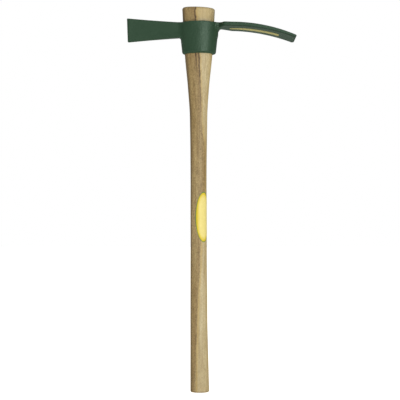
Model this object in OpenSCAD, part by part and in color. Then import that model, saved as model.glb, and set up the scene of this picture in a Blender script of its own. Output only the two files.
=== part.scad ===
// Grubbing mattock: a one-piece forged head with an upright axe blade and a level adze blade,
// slipped up a wooden handle until its oval eye jams on the flared top.
// Frame: +Z up the handle, +X towards the adze, origin on the handle's axis at its butt. Millimetres.

/* [Handle] */
// Length of the handle, butt to top
handle_len = 900; // [800:5:1000]
// Width of the flared top, in line with the blades
top_w = 77; // [74:0.1:84]
// Depth of the flared top, across the blades
top_d = 51.4; // [49:0.1:58]
// Width of the handle at the eye's lower rim
seat_w = 64.9; // [60:0.1:72]
// Depth of the handle at the eye's lower rim
seat_d = 44.4; // [41:0.1:48]
// Height of the middle of the flare
flare_h = 730; // [700:5:760]
// Width of the handle at the middle of the flare
flare_w = 53.2; // [48:0.1:58]
// Depth of the handle at the middle of the flare
flare_d = 38.6; // [35:0.1:42]
// Height of the throat, where the flare runs out
throat_h = 640; // [560:5:690]
// Width of the throat
throat_w = 40.6; // [38:0.1:50]
// Depth of the throat
throat_d = 33.6; // [30:0.1:38]
// Height of the waist, the slimmest place
waist_h = 470; // [380:5:520]
// Width of the waist
waist_w = 37.2; // [34:0.1:40]
// Depth of the waist
waist_d = 31; // [28:0.1:34]
// Height at which the butt starts to swell
swell_h = 190; // [120:5:260]
// Width of the handle where the swell starts
swell_w = 38.7; // [35:0.1:42]
// Depth of the handle where the swell starts
swell_d = 31.8; // [28:0.1:35]
// Width of the butt
butt_w = 43.7; // [40:0.1:50]
// Depth of the butt
butt_d = 36; // [32:0.1:42]
// How far the butt swells to the adze side of the axis
butt_offset = 3; // [0:0.1:6]
// Radius of the butt's rounded edge
butt_round = 5; // [1:0.1:8]
// Radius of the top's rounded edge
top_round = 5.5; // [1:0.1:10]
// Tilt of the sawn top, down towards the adze, in degrees
top_tilt = 2.3; // [0:0.1:4]

/* [Eye] */
// Height of the eye
eye_h = 74; // [60:0.5:90]
// How far the handle stands out above the eye
eye_drop = 34; // [20:0.5:60]
// Gap all round between the eye and the handle
eye_fit = 0.3; // [0.1:0.05:0.6]
// How far the eye's outside stands towards the adze from its hole
eye_offset = 1.1; // [0:0.1:2]
// Mean wall at the eye's two ends, at its lower rim
end_wall_low = 6.4; // [5.5:0.1:10]
// Mean wall at the eye's two ends, at its upper rim
end_wall_high = 10; // [7:0.1:14]
// Wall of the eye's two cheeks
cheek_wall = 8; // [6:0.1:12]
// Bluntness of the eye's oval, 2 for a plain ellipse
eye_blunt = 2.05; // [2:0.05:3]
// Radius of the lower rim's outer edge
low_rim_round = 4; // [1:0.1:4.2]
// Radius of the upper rim's outer edge
high_rim_round = 1.5; // [0.5:0.1:3]

/* [Axe blade] */
// Reach of the axe edge from the handle's axis
axe_reach = 168.2; // [140:0.1:200]
// Height of the axe blade at its edge
axe_edge_h = 57.4; // [45:0.1:80]
// Height of the axe blade at the eye
axe_root_h = 35.7; // [28:0.1:50]
// How far the blade's upper edge lies below the eye's upper rim, beside the eye
axe_drop = 0.2; // [0.2:0.1:4]
// How far the edge's upper corner stands above the eye
axe_rise = 10.4; // [0:0.1:16]
// Power that hollows the blade's upper and lower edges, 1 for straight ones
axe_hollow = 1.12; // [1:0.01:1.6]
// How far the edge's lower corner stands back from its upper corner
axe_rake = 2; // [0:0.1:6]
// Thickness of the axe blade at the eye
axe_root_t = 24; // [16:0.1:28]
// Power that hollows the blade's two faces, 1 for flat ones
axe_taper = 1.5; // [1:0.05:2.5]
// Thickness of the axe blade where its bevel starts
axe_bevel_t = 6.4; // [4:0.1:10]
// Thickness of the axe edge
axe_edge_t = 2.2; // [1.5:0.1:4]
// Width of the axe bevel
axe_bevel_w = 5; // [2:0.5:12]
// Fillet between the blade's faces and the eye's cheeks
axe_cheek_fillet = 5.5; // [4:0.5:14]
// Fillet between the blade's lower edge and the eye's end
axe_under_fillet = 5.5; // [2:0.5:8]

/* [Adze blade] */
// How far the adze's top lies below the eye's upper rim
adze_drop = 2.9; // [0:0.1:6]
// Slope of the adze at the eye, in degrees
adze_slope = 1.7; // [0:0.1:8]
// Length of the straight stretch from the eye to the bend
adze_root_run = 38.5; // [25:0.5:70]
// Radius of the bend, on the top face
adze_bend_r = 380; // [200:5:600]
// Turn of the bend, in degrees
adze_bend = 21; // [5:0.5:30]
// Length of the straight stretch from the bend to the edge
adze_tip_run = 6.5; // [5:0.5:60]
// Width of the neck beside the eye
adze_neck_w = 42; // [32:0.5:46]
// Length over which the shoulders flare out
adze_shoulder_run = 8; // [5:0.5:24]
// Power that hollows the shoulders, 1 for straight ones
adze_flare = 1.2; // [1:0.05:2.5]
// Radius of the shoulders' corners
adze_shoulder_round = 4; // [1:0.5:6]
// Width of the blade at the shoulders
adze_shoulder_w = 83.2; // [70:0.1:110]
// Width of the adze edge
adze_edge_w = 94; // [75:0.5:120]
// Thickness of the neck
adze_neck_t = 7.4; // [6:0.1:12]
// Greatest thickness of the blade
adze_body_t = 9.7; // [7:0.1:13]
// Distance from the eye to the thickest place
adze_body_run = 39; // [25:1:60]
// Power by which the blade thins from there, 1 for an even taper
adze_taper = 2.1; // [1:0.1:3]
// Thickness of the blade where its bevel starts
adze_bevel_t = 6.4; // [4:0.1:9]
// Thickness of the adze edge
adze_edge_t = 4.4; // [1.5:0.1:6]
// Width of the adze bevel
adze_bevel_w = 4; // [3:0.5:12]
// Fillet between the neck's sides and the eye's cheeks
adze_cheek_fillet = 18; // [6:0.5:20]
// Fillet between the neck's underside and the eye's end
adze_under_fillet = 13; // [3:0.5:14]

/* [Forging] */
// Radius of the blades' long edges
blade_round = 2; // [0.8:0.1:3]
// Radius of the blades' corners at the cutting edges
corner_round = 2.6; // [1:0.1:6]

/* [Labels] */
// Height of the middle of the handle's label
label_mid_h = 410; // [300:5:560]
// Height of the handle's label
label_h = 117; // [60:1:150]
// Width of the handle's label, round the handle
label_w = 36.5; // [20:0.5:48]
// Turn of the label's middle from the front towards the adze side, in degrees
label_turn = 38.5; // [0:0.5:90]
// Distance of the blade's label from the eye
strip_start = 24; // [20:0.5:50]
// Length of the blade's label
strip_len = 119; // [60:1:130]
// Width of the blade's label at its end near the eye
strip_root_w = 16; // [10:0.5:40]
// Width of the blade's label at its far end
strip_tip_w = 23; // [16:0.5:60]
// Length of the point at the end near the eye
strip_point = 9; // [2:0.5:20]
// How far the blade's label lies off the blade's middle
strip_shift = 4; // [0:0.5:10]
// Thickness of both labels
label_t = 0.2; // [0.1:0.05:0.4]
// Gap between a label and the surface under it
label_gap = 0.1; // [0.08:0.01:0.2]

/* [Hidden] */

paint_green = [0.16, 0.27, 0.19];
wood_tan = [0.67, 0.55, 0.36];
label_yellow = [0.93, 0.82, 0.25];

// Points round an oval section, steps along one quarter of a round edge, spacing of long lofts
oval_sides = 44;
round_steps = 4;
handle_step = 20;
blade_step = 9;

eye_top_z = handle_len - eye_drop;
eye_low_z = eye_top_z - eye_h;

// Handle stations from butt to top: height, half width, half depth, offset towards the adze
handle_stations = [
    [0, butt_w / 2, butt_d / 2, butt_offset],
    [swell_h, swell_w / 2, swell_d / 2, (swell_w - waist_w) / 2],
    [waist_h, waist_w / 2, waist_d / 2, 0],
    [throat_h, throat_w / 2, throat_d / 2, 0],
    [flare_h, flare_w / 2, flare_d / 2, 0],
    [eye_low_z, seat_w / 2, seat_d / 2, 0],
    [handle_len, top_w / 2, top_d / 2, 0],
];

// Plain helpers
function mix(a, b, t) = a + (b - a) * t;
function unit(t) = min(1, max(0, t));
function ease(t) = let (u = unit(t)) u * u * (3 - 2 * u);
function even_steps(from, to, step) =
    let (count = max(1, ceil((to - from) / step)))
    [for (i = [0 : count]) mix(from, to, i / count)];

// A smooth curve through a table's stations that never overshoots them:
// the slope at a station is the harmonic mean of the two spans beside it
function span_slope(table, i, c) = (table[i + 1][c] - table[i][c]) / (table[i + 1][0] - table[i][0]);
function station_slope(table, i, c) =
    i == 0 ? span_slope(table, 0, c)
    : i == len(table) - 1 ? span_slope(table, i - 1, c)
    : let (a = span_slope(table, i - 1, c), b = span_slope(table, i, c))
        a * b <= 0 ? 0 : 2 * a * b / (a + b);
function span_at(table, h, i = 0) =
    i >= len(table) - 2 || h <= table[i + 1][0] ? i : span_at(table, h, i + 1);
function smooth_at(table, h, c) =
    let (
        i = span_at(table, h),
        run = table[i + 1][0] - table[i][0],
        t = (h - table[i][0]) / run,
        rise = 3 * t * t - 2 * t * t * t
    )
    mix(table[i][c], table[i + 1][c], rise)
        + run * t * (t - 1) * ((t - 1) * station_slope(table, i, c) + t * station_slope(table, i + 1, c));

// How far a fillet has risen off the face that it leaves, after a run of up to its radius
function fillet_rise(r, run) = let (d = min(r, max(0, run))) r - sqrt(r * r - d * d);

// Sections
function blunt(v, power) = sign(v) * pow(abs(v), 2 / power);
function oval(half_w, half_d, offset, z, power = 2) =
    [for (i = [0 : oval_sides - 1]) let (a = 360 * i / oval_sides)
        [offset + half_w * blunt(cos(a), power), half_d * blunt(sin(a), power), z]];
function rounded_box(half_w, half_h, r) =
    let (e = min(r, 0.9 * half_w, 0.9 * half_h))
    [for (corner = [0 : 3]) for (k = [0 : round_steps])
        let (
            a = 90 * (corner + k / round_steps),
            right = corner == 0 || corner == 3 ? 1 : -1,
            up = corner < 2 ? 1 : -1
        )
        [right * (half_w - e) + e * cos(a), up * (half_h - e) + e * sin(a)]];
// How far in and how far along a quarter-round edge runs, from its flat end outwards
function edge_insets(r) =
    [for (k = [0 : round_steps]) let (a = 90 * k / round_steps) [r * (1 - sin(a)), r * (1 - cos(a))]];

// A closed solid through rings that have the same number of points
module loft(rings) {
    n = len(rings[0]);
    last = len(rings) - 1;
    sides = [for (i = [0 : last - 1]) for (j = [0 : n - 1])
        let (a = i * n + j, b = i * n + (j + 1) % n) each [[a, a + n, b], [b, a + n, b + n]]];
    ends = [[for (j = [0 : n - 1]) j], [for (j = [n - 1 : -1 : 0]) last * n + j]];
    polyhedron([for (ring = rings) each ring], concat(sides, ends));
}

// Handle
function handle_half_w(z) = smooth_at(handle_stations, z, 1);
function handle_half_d(z) = smooth_at(handle_stations, z, 2);
function handle_offset(z) = smooth_at(handle_stations, z, 3);
function handle_ring(z, grow) =
    oval(handle_half_w(z) + grow, handle_half_d(z) + grow, handle_offset(z), z);
// The same ring, leaning over above the eye into the tilt of the sawn top
function leaning_ring(z, grow) =
    let (lean = tan(top_tilt) * ease((z - eye_top_z) / eye_drop))
    [for (p = handle_ring(z, grow)) [p[0], p[1], p[2] - lean * p[0]]];

// The shaft with both ends rounded, sawn flat at the butt
module handle() {
    saw = 2 * butt_w;
    shaft = even_steps(butt_round, handle_len - top_round, handle_step);
    butt_edge = edge_insets(butt_round);
    top_edge = edge_insets(top_round);
    rings = concat(
        [oval(butt_w / 2 - butt_round, butt_d / 2 - butt_round, butt_offset, -1)],
        [for (e = butt_edge) handle_ring(e[1], -e[0])],
        [for (i = [1 : len(shaft) - 1]) leaning_ring(shaft[i], 0)],
        [for (i = [round_steps - 1 : -1 : 0]) let (e = top_edge[i]) leaning_ring(handle_len - e[1], -e[0])]
    );
    color(wood_tan) difference() {
        loft(rings);
        translate([-saw / 2, -saw / 2, -saw]) cube(saw);
    }
}

// Eye
function eye_end_wall(z) = mix(end_wall_low, end_wall_high, (z - eye_low_z) / eye_h);
function eye_end_x(z) = handle_half_w(z) + eye_fit + eye_end_wall(z);
function eye_cheek_y(z) = handle_half_d(z) + eye_fit + cheek_wall;
function eye_ring(z, grow) = oval(eye_end_x(z) + grow, eye_cheek_y(z) + grow, eye_offset, z, eye_blunt);

module eye_barrel() {
    wall = even_steps(eye_low_z + low_rim_round, eye_top_z - high_rim_round, blade_step);
    low_edge = edge_insets(low_rim_round);
    high_edge = edge_insets(high_rim_round);
    loft(concat(
        [for (e = low_edge) eye_ring(eye_low_z + e[1], -e[0])],
        [for (i = [1 : len(wall) - 1]) eye_ring(wall[i], 0)],
        [for (i = [round_steps - 1 : -1 : 0]) eye_ring(eye_top_z - high_edge[i][1], -high_edge[i][0])]
    ));
}

module eye_hole() {
    past = 2;
    loft([for (z = even_steps(eye_low_z - past, eye_top_z + past, blade_step)) handle_ring(z, eye_fit)]);
}

// Quarter-round collar that grows out of the eye's wall up to a blade's underside,
// kept to the blade's width and to its own side of the eye
module under_collar(under_z, r, half_w, side) {
    sink = 0.3;
    reach = 2 * eye_end_x(eye_top_z);
    intersection() {
        loft(concat(
            [for (e = edge_insets(r)) eye_ring(under_z - e[0], e[1] - sink)],
            [eye_ring(under_z + r / 2, r - sink)]
        ));
        translate([side > 0 ? 0 : -reach, -half_w, under_z - 2 * r]) cube([reach, 2 * half_w, 4 * r]);
    }
}

// Axe blade: upright sections from inside the eye's wall out to the edge, at x from the handle's axis
axe_eye_x = eye_end_x(eye_top_z - axe_root_h / 2) - eye_offset;
axe_bury_x = handle_half_w(eye_top_z - axe_root_h / 2);
axe_bevel_x = axe_reach - axe_bevel_w;
function axe_out(x) = max(0, (x - axe_eye_x) / (axe_reach - axe_eye_x));
function axe_left(x) = unit((axe_bevel_x - x) / (axe_bevel_x - axe_eye_x));
function axe_half_t(x) =
    x > axe_bevel_x
        ? mix(axe_bevel_t, axe_edge_t, (x - axe_bevel_x) / axe_bevel_w) / 2
        : mix(axe_bevel_t, axe_root_t, pow(axe_left(x), axe_taper)) / 2
            + fillet_rise(axe_cheek_fillet, min(axe_eye_x - x, axe_cheek_fillet * sin(45)));
function axe_top_z(x) = eye_top_z - axe_drop + (axe_rise + axe_drop) * pow(axe_out(x), axe_hollow);
function axe_low_z(x) =
    let (root_z = eye_top_z - axe_drop - axe_root_h, edge_z = eye_top_z + axe_rise - axe_edge_h)
    mix(root_z, edge_z, pow(axe_out(x), axe_hollow));
function axe_ring(x, inset) =
    let (top = axe_top_z(x) - inset, low = axe_low_z(x) + inset)
    [for (p = rounded_box(axe_half_t(x), (top - low) / 2, blade_round))
        let (down = 0.5 - p[1] / (top - low))
        [axe_rake * down * axe_out(x) - x, -p[0], (top + low) / 2 + p[1]]];

module axe_blade() {
    root = even_steps(axe_bury_x, axe_eye_x, axe_cheek_fillet / round_steps);
    body = even_steps(axe_eye_x, axe_bevel_x, blade_step);
    edge = edge_insets(corner_round);
    loft(concat(
        [for (x = root) axe_ring(x, 0)],
        [for (i = [1 : len(body) - 1]) axe_ring(body[i], 0)],
        [for (i = [round_steps : -1 : 0]) axe_ring(axe_reach - edge[i][1], edge[i][0])]
    ));
    under_collar(axe_low_z(0), axe_under_fillet, axe_root_t / 2 - blade_round, -1);
}

// Adze blade: its top face follows a straight, a bend and a straight, at s along it from the eye's end
adze_start = [eye_end_x(eye_top_z) + eye_offset, eye_top_z - adze_drop];
adze_bury = adze_start[0] - handle_half_w(eye_top_z) / 2;
adze_bend_len = adze_bend_r * adze_bend * PI / 180;
adze_len = adze_root_run + adze_bend_len + adze_tip_run;
adze_shoulder_s = adze_shoulder_run + adze_shoulder_round;
adze_bevel_s = adze_len - adze_bevel_w;
function adze_heading(s) = adze_slope + adze_bend * unit((s - adze_root_run) / adze_bend_len);
function adze_top(s) =
    let (
        root = min(s, adze_root_run),
        tip = max(0, s - adze_root_run - adze_bend_len),
        h = adze_heading(s)
    )
    adze_start + root * [cos(adze_slope), -sin(adze_slope)]
        + adze_bend_r * [sin(h) - sin(adze_slope), cos(h) - cos(adze_slope)]
        + tip * [cos(h), -sin(h)];
function adze_t(s) =
    let (
        swell = ease(s / adze_body_run),
        thin = unit((s - adze_body_run) / (adze_bevel_s - adze_body_run)),
        bevel = max(0, (s - adze_bevel_s) / adze_bevel_w)
    )
    mix(adze_neck_t, adze_body_t, swell)
        - (adze_body_t - adze_bevel_t) * pow(thin, adze_taper)
        - (adze_bevel_t - adze_edge_t) * bevel;
function adze_side_w(s) =
    mix(adze_shoulder_w, adze_edge_w, (s - adze_shoulder_s) / (adze_len - adze_shoulder_s)) / 2;
// A point y across and d below the top face, square to it
function adze_point(s, y, d) =
    let (p = adze_top(s), h = adze_heading(s))
    [p[0] - d * sin(h), y, p[1] - d * cos(h)];
function adze_ring(s, half_w) =
    let (t = adze_t(s))
    [for (p = rounded_box(half_w, t / 2, blade_round)) adze_point(s, p[0], t / 2 - p[1])];

// The plan of one side from the eye to the edge, as places along the blade and half widths:
// buried neck, fillet to the cheek, hollow shoulder, shoulder corner, long side, edge corner
module adze_blade() {
    neck = adze_neck_w / 2;
    flare_end = adze_shoulder_w / 2 - adze_shoulder_round;
    side = even_steps(adze_shoulder_s, adze_bevel_s, blade_step);
    edge = edge_insets(corner_round);
    // The cheek turns by this many degrees away from the neck's side where the two meet
    cheek_turn = 38;
    fillet_s = -adze_cheek_fillet / 2;
    fillet_run = adze_cheek_fillet * sin(cheek_turn);
    plan = concat(
        [[-adze_bury, neck + fillet_rise(adze_cheek_fillet, fillet_run)]],
        [for (k = [round_steps : -1 : 0]) let (run = fillet_run * k / round_steps)
            [fillet_s - run, neck + fillet_rise(adze_cheek_fillet, run)]],
        [for (k = [0 : round_steps]) let (share = k / round_steps)
            [adze_shoulder_run * share, mix(neck, flare_end, pow(share, adze_flare))]],
        [for (k = [1 : round_steps]) let (a = 90 * k / round_steps)
            [
                adze_shoulder_run + adze_shoulder_round * (1 - cos(a)),
                flare_end + adze_shoulder_round * sin(a)
            ]],
        [for (i = [1 : len(side) - 1]) [side[i], adze_side_w(side[i])]],
        [for (i = [round_steps : -1 : 0]) let (s = adze_len - edge[i][1]) [s, adze_side_w(s) - edge[i][0]]]
    );
    loft([for (p = plan) adze_ring(p[0], p[1])]);
    under_collar(adze_start[1] - adze_neck_t, adze_under_fillet, neck - blade_round, 1);
}

module mattock_head() {
    color(paint_green) difference() {
        union() {
            eye_barrel();
            axe_blade();
            adze_blade();
        }
        eye_hole();
    }
}

// Labels
label_sectors = 40;
label_rings = 7;
label_radius = (handle_half_w(label_mid_h) + handle_half_d(label_mid_h)) / 2;
// A point of the oval label: share of the way out, turn round the label, lift off the handle
function label_point(share, turn, lift) =
    let (
        z = label_mid_h + share * label_h / 2 * sin(turn),
        a = label_turn + share * label_w / 2 * cos(turn) / label_radius * 180 / PI,
        half_w = handle_half_w(z),
        half_d = handle_half_d(z),
        out = [sin(a) / half_w, -cos(a) / half_d]
    )
    [
        handle_offset(z) + half_w * sin(a) + lift * out[0] / norm(out),
        -half_d * cos(a) + lift * out[1] / norm(out),
        z
    ];

module handle_label() {
    n = label_sectors;
    under = [for (k = [1 : label_rings]) for (j = [0 : n - 1])
        label_point(k / label_rings, 360 * j / n, label_gap)];
    over = [for (k = [1 : label_rings]) for (j = [0 : n - 1])
        label_point(k / label_rings, 360 * j / n, label_gap + label_t)];
    middles = [label_point(0, 0, label_gap), label_point(0, 0, label_gap + label_t)];
    size = label_rings * n;
    fans = [for (j = [0 : n - 1]) let (next = (j + 1) % n)
        each [[2 * size, j, next], [2 * size + 1, size + next, size + j]]];
    bands = [for (k = [0 : label_rings - 2]) for (j = [0 : n - 1])
        let (a = k * n + j, b = k * n + (j + 1) % n)
        each [
            [a, a + n, b],
            [b, a + n, b + n],
            [size + a, size + b, size + a + n],
            [size + b, size + b + n, size + a + n]
        ]];
    rim = [for (j = [0 : n - 1]) let (a = size - n + j, b = size - n + (j + 1) % n)
        each [[a, a + size, b], [b, a + size, b + size]]];
    color(label_yellow) polyhedron(concat(under, over, middles), concat(fans, bands, rim));
}

// The blade's label: its half width at s along the blade, drawn in to a blunt point near the eye
function strip_half_w(s) =
    let (run = s - strip_start, blunt_end = 0.1)
    mix(strip_root_w, strip_tip_w, run / strip_len) / 2 * max(blunt_end, sqrt(unit(run / strip_point)));

module adze_label() {
    strip = [for (s = even_steps(strip_start, strip_start + strip_len, blade_step))
        let (half = strip_half_w(s), d = adze_t(s) + label_gap)
        [
            adze_point(s, strip_shift + half, d),
            adze_point(s, strip_shift - half, d),
            adze_point(s, strip_shift - half, d + label_t),
            adze_point(s, strip_shift + half, d + label_t)
        ]];
    color(label_yellow) loft(strip);
}

mattock_head();
handle();
handle_label();
adze_label();
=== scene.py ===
import bpy
import numpy as np
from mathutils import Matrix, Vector


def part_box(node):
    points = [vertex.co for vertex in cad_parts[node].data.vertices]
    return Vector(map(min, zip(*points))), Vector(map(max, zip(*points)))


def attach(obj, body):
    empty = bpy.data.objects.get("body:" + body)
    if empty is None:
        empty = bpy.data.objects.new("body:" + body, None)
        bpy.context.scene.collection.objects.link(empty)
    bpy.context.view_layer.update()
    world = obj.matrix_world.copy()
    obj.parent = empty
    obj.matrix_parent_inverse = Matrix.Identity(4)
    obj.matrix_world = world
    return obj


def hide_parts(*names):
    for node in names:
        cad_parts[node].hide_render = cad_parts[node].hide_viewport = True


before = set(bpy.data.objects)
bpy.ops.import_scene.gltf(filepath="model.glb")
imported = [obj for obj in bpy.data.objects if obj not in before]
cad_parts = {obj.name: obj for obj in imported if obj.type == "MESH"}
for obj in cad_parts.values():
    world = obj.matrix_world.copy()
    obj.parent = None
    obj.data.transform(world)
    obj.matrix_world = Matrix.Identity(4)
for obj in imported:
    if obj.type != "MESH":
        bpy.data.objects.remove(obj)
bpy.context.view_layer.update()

# Grubbing mattock: a painted forging with an upright axe blade and a drooping adze blade, slipped up a
# flared wooden handle, with a plain sticker on the handle and one under the adze.
# Frame: +Z up the handle, +X towards the adze, -Y towards the camera. Shapes are worked out in
# millimetres, and MM makes them metres.
MM = 0.001

# Handle: height, width, depth and offset towards the adze at each station from butt to top
HANDLE_LEN = 900.0
EYE_LOW = 792.0
HANDLE_STATIONS = np.array([
    [0.0, 44.0, 36.0, 2.85],
    [190.0, 39.5, 31.8, 0.7],
    [470.0, 37.5, 31.0, 0.0],
    [640.0, 40.6, 33.6, 0.0],
    [712.0, 49.3, 37.3, -0.3],
    [EYE_LOW, 64.9, 44.4, 0.0],
    [HANDLE_LEN, 77.0, 51.4, 0.0],
])
BUTT_ROUND = 3.2
TOP_ROUND = 5.5
TOP_TILT = 0.04

# Waves that sanding leaves: pitch up the handle, turns round it and phase of each
SANDING_WAVES = ((31.0, 2, 0.0), (47.0, -3, 1.3), (19.0, 1, 2.1))
SANDING_DEPTH = 0.14
SANDING_END = EYE_LOW - 30.0
SANDING_FADE = 90.0

# Edge of the dark heartwood on the front of the handle: height, and place across towards the adze
HEART_EDGE = np.array([
    [0.0, -7.5],
    [62.0, -6.3],
    [168.0, -4.0],
    [246.0, -0.7],
    [309.0, 3.3],
    [344.0, 4.5],
    [420.0, 9.0],
    [478.0, 17.0],
    [567.0, 17.0],
    [602.0, 10.3],
    [642.0, 6.8],
    [684.0, 5.2],
    [734.0, 3.5],
    [783.0, 1.4],
    [820.0, -3.0],
    [872.0, -6.2],
    [890.0, -8.2],
    [HANDLE_LEN, -5.0],
])
HEART_BOW = 90.0

# Eye of the head
EYE_H = 74.0
EYE_TOP = EYE_LOW + EYE_H
EYE_FIT = 0.3
EYE_OFFSET = 1.1
EYE_SAG = 1.3
END_WALL_LOW = 6.4
END_WALL_HIGH = 10.0
CHEEK_WALL = 8.0
EYE_BLUNT = 2.05
LOW_RIM_ROUND = 5.0
HIGH_RIM_ROUND = 1.6
HOLE_ROUND = 0.8
RIM_LEVEL_RUN = 12.0
RIM_FALL_X = 20.0
RIM_FALL_RUN = 22.0

# Axe blade: its hollow and its taper are powers of the way along it
AXE_REACH = 168.2
AXE_EDGE_H = 57.4
AXE_ROOT_H = 35.7
AXE_RISE = 10.4
AXE_HOLLOW = 1.12
AXE_RAKE = 2.0
AXE_ROOT_T = 24.0
AXE_TAPER = 1.5
AXE_BEVEL_T = 6.4
AXE_EDGE_T = 2.2
AXE_BEVEL_W = 5.0
AXE_FILLET = 5.5
AXE_BURY = 9.0

# Adze blade: lengths that end in S are measured along its top from the eye, and its flare and its taper
# are powers of the way along it
ADZE_DROP = 2.95
ADZE_SLOPE = np.radians(1.7)
ADZE_ROOT_RUN = 38.4
ADZE_BEND_R = 380.0
ADZE_BEND = np.radians(21.0)
ADZE_TIP_RUN = 6.25
ADZE_SKEW = 0.02
ADZE_NECK_W = 37.0
ADZE_NEAR_SHOULDER_S = 9.4
ADZE_FAR_SHOULDER_S = 30.0
ADZE_FLARE = 1.2
ADZE_FLARE_END = 1.5
ADZE_SHOULDER_ROUND = 4.0
ADZE_SHOULDER_W = 83.2
ADZE_EDGE_W = 93.85
ADZE_SADDLE = 1.9
ADZE_SADDLE_S = 8.0
ADZE_SADDLE_RUN = 9.0
ADZE_LOW_ROUND = 3.4
ADZE_LOW_ROUND_S = 8.0
ADZE_LOW_ROUND_RUN = 24.0
ADZE_NECK_T = 10.2
ADZE_BODY_T = 9.7
ADZE_BODY_S = 39.0
ADZE_TAPER = 2.1
ADZE_BEVEL_T = 6.4
ADZE_EDGE_T = 4.4
ADZE_BEVEL_W = 4.0
ADZE_CHEEK_FILLET = 2.2
ADZE_UNDER_FILLET = 12.8
ADZE_FILLET_DROP = 2.0
ADZE_FILLET_X = 37.0
ADZE_FILLET_RUN = 8.0
ADZE_BURY = 14.0
THROAT_BULGE = 0.9
THROAT_DROP = 27.0
THROAT_RUN = 12.0

# Rounded edges of both blades: the radius of a long edge is a share of the thickness, within limits
BLADE_ROUND = 2.0
LEAST_ROUND = 0.3
ROUND_SHARE = 0.4
CORNER_ROUND = 2.6

# Stickers
LABEL_MID_H = 410.0
LABEL_H = 117.0
LABEL_W = 36.4
LABEL_TURN = np.radians(38.5)
STRIP_START = 23.5
STRIP_LEN = 120.5
STRIP_POINT = 14.0
STRIP_LEAST_SHARE = 0.01
STRIP_ROOT_W = 17.0
STRIP_TIP_W = 25.5
STRIP_ROOT_SHIFT = 2.2
STRIP_TIP_SHIFT = 0.5
STRIP_SPREAD = 0.45
STRIP_END_SKEW = 0.07
LABEL_T = 0.2
LABEL_GAP = 0.1


def mix(a, b, share):
    """The value that lies this share of the way from a to b."""
    return a + (b - a) * share


def ease(share):
    """The share held between 0 and 1 and eased: three times its square less twice its cube."""
    share = np.clip(share, 0, 1)
    return share * share * (3 - 2 * share)


def rise(value, start, run):
    """Zero up to start, then easing to one over the run."""
    return ease((value - start) / run)


def fall(value, end, run):
    """One until a run before the end, then easing to zero at the end."""
    return ease((end - value) / run)


def band(value, start, rise_run, end, fall_run):
    """A rise from start and a fall to end, multiplied."""
    return rise(value, start, rise_run) * fall(value, end, fall_run)


def smooth_through(stations, at):
    """A curve through the stations that never overshoots: cubic spans between them, and at each station
    the slope is the harmonic mean of the two spans beside it, or level where they run opposite ways."""
    at = np.asarray(at, float)
    places = stations[:, 0]
    values = stations[:, 1:]
    run = np.diff(places)[:, None]
    slope = np.diff(values, axis=0) / run
    product = slope[:-1] * slope[1:]
    total = slope[:-1] + slope[1:]
    inner = np.where(product > 0, 2 * product / np.where(product > 0, total, 1), 0)
    lean = np.vstack([slope[:1], inner, slope[-1:]])
    here = np.clip(np.searchsorted(places, at) - 1, 0, len(run) - 1)
    length = run[here]
    t = (at[..., None] - places[here][..., None]) / length
    level = mix(values[here], values[here + 1], 3 * t**2 - 2 * t**3)
    return level + length * t * (t - 1) * ((t - 1) * lean[here] + t * lean[here + 1])


def handle_section(z):
    """Half width, half depth and offset of the handle's oval at a height."""
    section = smooth_through(HANDLE_STATIONS, z)
    return section[..., 0] / 2, section[..., 1] / 2, section[..., 2]


def handle_point(angle, z, inset=0.0, share=1.0):
    """A point of the handle's skin: an ellipse round the axis at height z, drawn in by inset and scaled by
    share, with the mean of the sanding waves on it, which die out below the eye."""
    half_w, half_d, offset = handle_section(z)
    waves = [np.sin(z / pitch + turns * angle + phase) for pitch, turns, phase in SANDING_WAVES]
    grow = SANDING_DEPTH * fall(z, SANDING_END, SANDING_FADE) * sum(waves) / len(waves) - inset
    x = offset + share * (half_w + grow) * np.cos(angle)
    y = share * (half_d + grow) * np.sin(angle)
    return np.stack(np.broadcast_arrays(x, y, z), -1)


# Mesh builders: two faces that turn by more than this show a crisp edge
SHARP_TURN = np.radians(50)
NO_QUADS = np.zeros((0, 4), int)
NO_TRIANGLES = np.zeros((0, 3), int)


def grid_faces(rows, columns, closed):
    """Quads between neighbouring rows and columns of points. A closed grid's last column joins its first."""
    i = np.arange(rows - 1)[:, None] * columns
    j = np.arange(columns if closed else columns - 1)
    k = (j + 1) % columns
    return np.stack([i + j, i + k, i + columns + k, i + columns + j], -1).reshape(-1, 4)


def fan_faces(pole, ring):
    """Triangles from a pole to each side of a closed ring of points."""
    return np.stack([np.full(len(ring), pole), ring, np.roll(ring, -1)], -1)


def sheet_faces(quads, triangles, border, size):
    """Faces of a thin sheet, whose inner points follow its outer ones in the same order, size of each: the
    outer faces, the same turned over for the inner points, and a wall along the border between them."""
    after = np.roll(border, -1)
    wall = np.stack([border, border + size, after + size, after], -1)
    both_sides = np.vstack([quads, quads[:, ::-1] + size, wall])
    return both_sides, np.vstack([triangles, triangles[:, ::-1] + size])


def add_piece(name, points, quads, triangles, material):
    """A smooth mesh object at the origin from points in millimetres and whole arrays of faces."""
    mesh = bpy.data.meshes.new(name)
    corners = np.concatenate([quads.ravel(), triangles.ravel()]).astype(np.int32)
    starts = np.concatenate([4 * np.arange(len(quads)), quads.size + 3 * np.arange(len(triangles))])
    mesh.vertices.add(len(points))
    mesh.vertices.foreach_set("co", (points * MM).astype(np.float32).ravel())
    mesh.loops.add(len(corners))
    mesh.loops.foreach_set("vertex_index", corners)
    mesh.polygons.add(len(starts))
    mesh.polygons.foreach_set("loop_start", starts.astype(np.int32))
    mesh.polygons.foreach_set("use_smooth", np.ones(len(starts), bool))
    mesh.update(calc_edges=True)
    mesh.validate()
    mesh.set_sharp_from_angle(angle=SHARP_TURN)
    mesh.materials.append(material)
    piece = bpy.data.objects.new(name, mesh)
    bpy.context.scene.collection.objects.link(piece)
    return piece


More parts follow.
